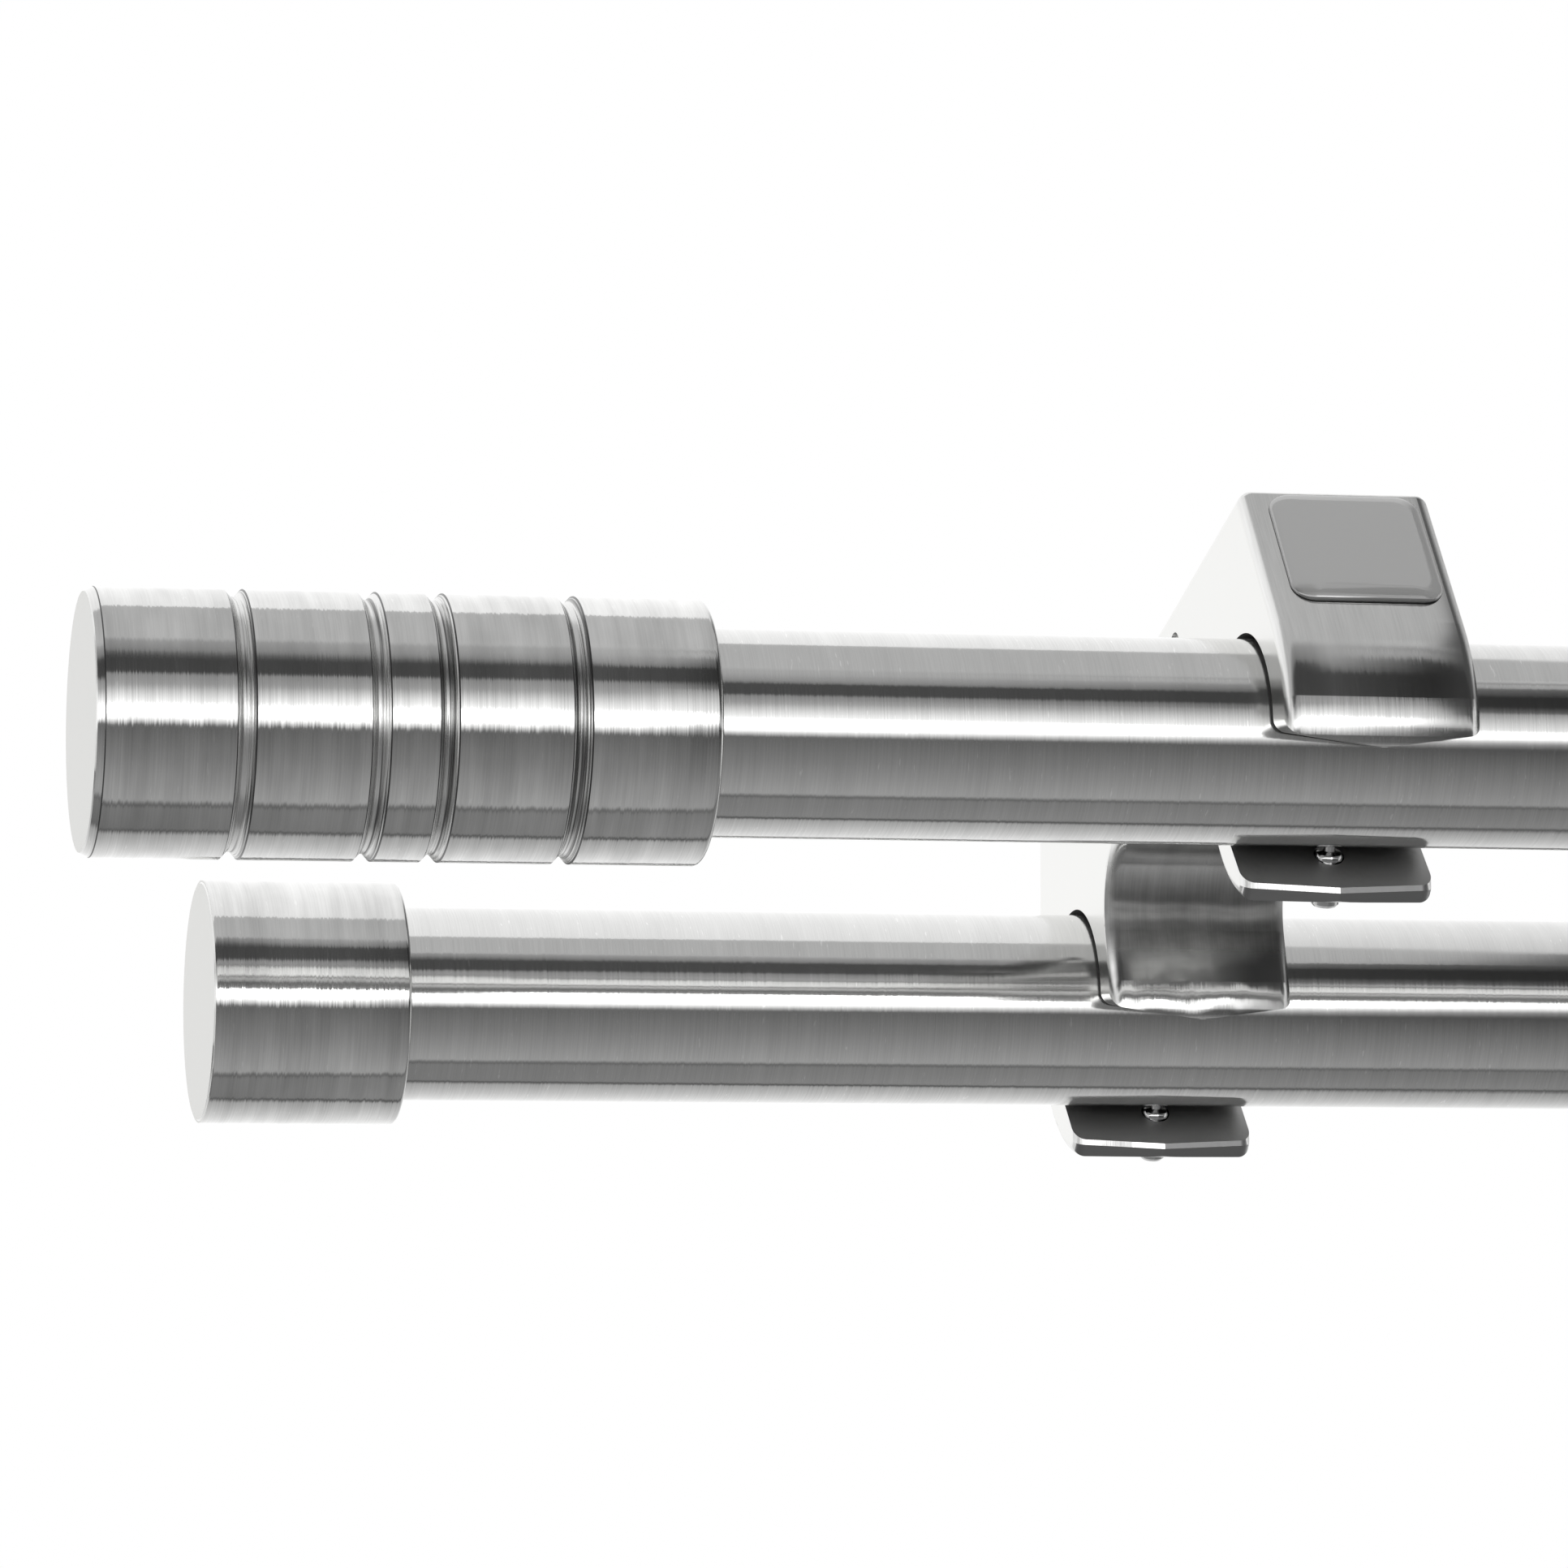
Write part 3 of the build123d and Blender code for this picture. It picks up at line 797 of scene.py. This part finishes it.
def casting_zone(face, middle_x):
    """0 brushed outside, 1 polished side, 2 unpolished bore or inside of a jaw, 3 dull end of a jaw, and
    painted shade on the right half of its inner edge.
    """
    x, y, z = face.center * 1000
    if abs(face.normal.x) > 0.97:
        return 1
    for axis_y, axis_z in (FRONT_AXIS, REAR_AXIS):
        out = Vector((0, y - axis_y, z - axis_z))
        if out.length < BORE_REACH and out.dot(face.normal) < 0:
            return 2
    if z < JAW_BELOW and face.normal.y < -0.7 and face.normal.z > 0.3:
        return 2
    # Painted shade: the right half of the jaw's inner edge is darker in colour
    shaded_half_edge = face.normal.y < -0.8 and x > middle_x
    end_face = -0.8 < face.normal.y < -0.3 and face.normal.z < -0.5
    return 3 if z < JAW_END_BELOW and (shaded_half_edge or end_face) else 0


for name, side in SIDES.items():
    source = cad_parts[f"{name}_bracket"]
    casting = new_object(f"{name}_bracket_casting", source.data.copy())
    casting.data.materials.clear()
    for finish in (CASTING_NICKEL, CAST_SIDE, INSIDE_NICKEL, JAW_END_AND_SHADE):
        casting.data.materials.append(finish)
    for face in casting.data.polygons:
        face.material_index = casting_zone(face, side * BRACKET_X)
    keep(casting, f"{name}_bracket")
    print(casting.name, len(casting.data.polygons), "faces")


# %% [markdown]
# ## Badges
# Resin is poured onto a small foil label and stops at its edge, so it sets as a dome. It is nearly flat in
# the middle and steep at the rim. The dome is built in rings, each the label's outline made smaller, raised
# along a quarter of an ellipse. A bevelled slab would be as steep, but its edge would rise in a plain arc.

# %% Shape of the dome
BADGE_MIDDLE = (-44.79, -7.79)  # y and z on the bracket's face
BADGE_SHIFT = 0.5  # to the right of the bracket's middle
BADGE_HALF = 7.6
BADGE_CORNER = 2.2
BADGE_HEIGHT = 1.1
BADGE_SLOPE = 2.6  # how far in from the edge the dome still rises
BADGE_STEP = 0.12  # thickness at its edge
ACROSS = Vector((1, 0, 0))
BADGE_UP = Vector((0, 0.399, 0.917))

straight = BADGE_HALF - BADGE_CORNER
badge_outline = []  # a square with rounded corners
for quarter, (u, v) in enumerate(((1, 1), (-1, 1), (-1, -1), (1, -1))):
    for k in range(9):
        a = math.radians(90 * quarter + 90 * k / 8)
        across, up = BADGE_CORNER * math.cos(a), BADGE_CORNER * math.sin(a)
        badge_outline.append((straight * u + across, straight * v + up))

dome_rings = [(1.0, 0.0)]  # share of the outline's size, and height
for angle in range(0, 91, 5):
    a = math.radians(angle)
    rise = BADGE_STEP + (BADGE_HEIGHT - BADGE_STEP) * math.sin(a)
    dome_rings.append((1 - BADGE_SLOPE * (1 - math.cos(a)) / BADGE_HALF, rise))
print("badge", 2 * BADGE_HALF, "mm square, in", len(dome_rings), "rings of", len(badge_outline), "points")


# %% Badges
def dome_points(middle):
    """The dome's points: the middle of its back, ring after ring, and the middle of its top."""
    points = [middle]
    for share, height in dome_rings:
        for u, v in badge_outline:
            points.append(middle + ACROSS * share * u + BADGE_UP * share * v + BADGE_OUT * height)
    points.append(middle + BADGE_OUT * BADGE_HEIGHT)
    return [point / 1000 for point in points]


per_ring = len(badge_outline)
last = 1 + (len(dome_rings) - 1) * per_ring  # first point of the last ring
dome_faces = [(0, 1 + k, 1 + (k + 1) % per_ring) for k in range(per_ring)]
for start in range(1, last, per_ring):
    for k in range(per_ring):
        j = (k + 1) % per_ring
        dome_faces.append((start + k, start + j, start + per_ring + j, start + per_ring + k))
dome_faces += [(last + k, last + (k + 1) % per_ring, last + per_ring) for k in range(per_ring)]

for name, side in SIDES.items():
    mesh = bpy.data.meshes.new(f"{name}_badge_dome")
    mesh.from_pydata(dome_points(Vector((side * BRACKET_X + BADGE_SHIFT, *BADGE_MIDDLE))), [], dome_faces)
    badge = new_object(f"{name}_badge_dome", mesh)
    open_edges = face_outwards(mesh)
    mesh.materials.append(BADGE_FOIL)
    mesh.materials.append(BADGE_EDGE_SHADE)
    for k, face in enumerate(mesh.polygons):
        edge = k < 2 * per_ring  # the back and the low wall round the label, which take the painted shade
        face.material_index = 1 if edge else 0
        face.use_smooth = not edge
    keep(badge, f"{name}_badge")
    print(badge.name, len(dome_faces), "faces,", open_edges, "open edges")


# %% [markdown]
# ## Clamp screws
# An M3 grub screw in each jaw presses on its pole from below. It is turned with a thin round tip and a
# thread. A real thread is a helix, but rings look the same at this size and close without a seam, so the
# lathe can make them. A second tree sets copies of the screw where they belong, and turns each to its pole.

# %% One screw
SCREW_LENGTH = 6.4
SCREW_RADIUS = 1.4
THREAD_PITCH = 0.5
THREAD_START = 1.85
THREAD_TURNS = 7
CORE_RADIUS = SCREW_RADIUS - 0.28
SOCKET_RADIUS = 0.75
SOCKET_DEPTH = 1.4
SOCKET_FLOOR = SCREW_LENGTH - SOCKET_DEPTH

screw_outline = [(0, 0), (0.5, 0), (0.55, 0.06), (0.55, 0.8)]  # the tip
screw_outline += [(0.75, 0.92), (1.25, 1.05), (SCREW_RADIUS, 1.3), (SCREW_RADIUS, 1.6), (CORE_RADIUS, 1.72)]
for turn in range(THREAD_TURNS):
    at = THREAD_START + THREAD_PITCH * turn
    screw_outline += [(SCREW_RADIUS, at), (SCREW_RADIUS, at + 0.08)]
    screw_outline += [(CORE_RADIUS, at + 0.25), (CORE_RADIUS, at + 0.33)]
screw_outline += [(SCREW_RADIUS, 5.35), (SCREW_RADIUS, 6.1), (SCREW_RADIUS - 0.3, SCREW_LENGTH)]
screw_outline += [(SOCKET_RADIUS, SCREW_LENGTH), (SOCKET_RADIUS, SOCKET_FLOOR), (0, SOCKET_FLOOR)]
settings = {
    "Segments": 48, "Turn": (0, 0, 0), "Place": (0, 0, 0), "Sharp above": math.radians(35),
    "Material": SCREW_ZINC,
}
screw = turn_on_lathe("Clamp screw", screw_outline, settings)
for vertex in screw.data.vertices:
    x, y, z = vertex.co * 1000
    if z > SOCKET_FLOOR - 0.1 and 0.1 < math.hypot(x, y) < SOCKET_RADIUS + 0.05:  # the hexagon for the key
        a = math.atan2(y, x)
        reach = SOCKET_RADIUS / math.cos((a % math.radians(60)) - math.radians(30))
        vertex.co.x, vertex.co.y = mm(reach * math.cos(a), reach * math.sin(a))


# %% Copies of it
def copies_tree():
    """Sets a copy of a piece on every point, turned by the point's own "turn"."""
    tree, given = new_tree("Copies", {"Places": "Geometry", "Piece": "Object", "Material": "Material"})
    piece = add_node(tree, "GeometryNodeObjectInfo", links={0: given.outputs["Piece"]})
    turn = add_node(
        tree, "GeometryNodeInputNamedAttribute", data_type="FLOAT_VECTOR", values={"Name": "turn"},
    )
    on_points = {"Points": given.outputs["Places"], "Instance": piece.outputs["Geometry"], "Rotation": turn}
    set_out = add_node(tree, "GeometryNodeInstanceOnPoints", links=on_points)
    coated_output(tree, given, set_out)
    return tree


COPIES = copies_tree()
SCREW_ANGLE = math.radians(50)  # below the horizontal, behind each pole
for name, side in SIDES.items():
    seats = []
    for y, z in (FRONT_AXIS, REAR_AXIS):
        back, down = POLE_RADIUS * math.cos(SCREW_ANGLE), POLE_RADIUS * math.sin(SCREW_ANGLE)
        seats.append(mm(side * BRACKET_X, y + back, z - down))
    turns = [(-math.radians(90) - SCREW_ANGLE, 0, 0)] * len(seats)
    settings = {"Piece": screw, "Material": SCREW_ZINC}
    pair = run_tree(f"{name}_clamp_screws", seats, [], COPIES, settings, {"turn": turns})
    keep(pair, f"{name}_pole_screws")
bpy.data.objects.remove(screw)


# %% [markdown]
# ## Pieces that keep their shape
# The ceiling channels are folded from sheet, and the other grub screws sit deep in their holes. Their solids
# are as fine as anyone can see, so they only take a finish.

# %% Other pieces
PLAIN_PIECES = {
    "left_ceiling_channel": FOLDED_ZINC,
    "right_ceiling_channel": FOLDED_ZINC,
    "left_channel_screw": SCREW_ZINC,
    "right_channel_screw": SCREW_ZINC,
    "finial_screws": SCREW_ZINC,
    "cap_screws": SCREW_ZINC,
}
for node, finish in PLAIN_PIECES.items():
    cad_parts[node].material_slots[0].material = finish
print("kept as they are:", ", ".join(PLAIN_PIECES))
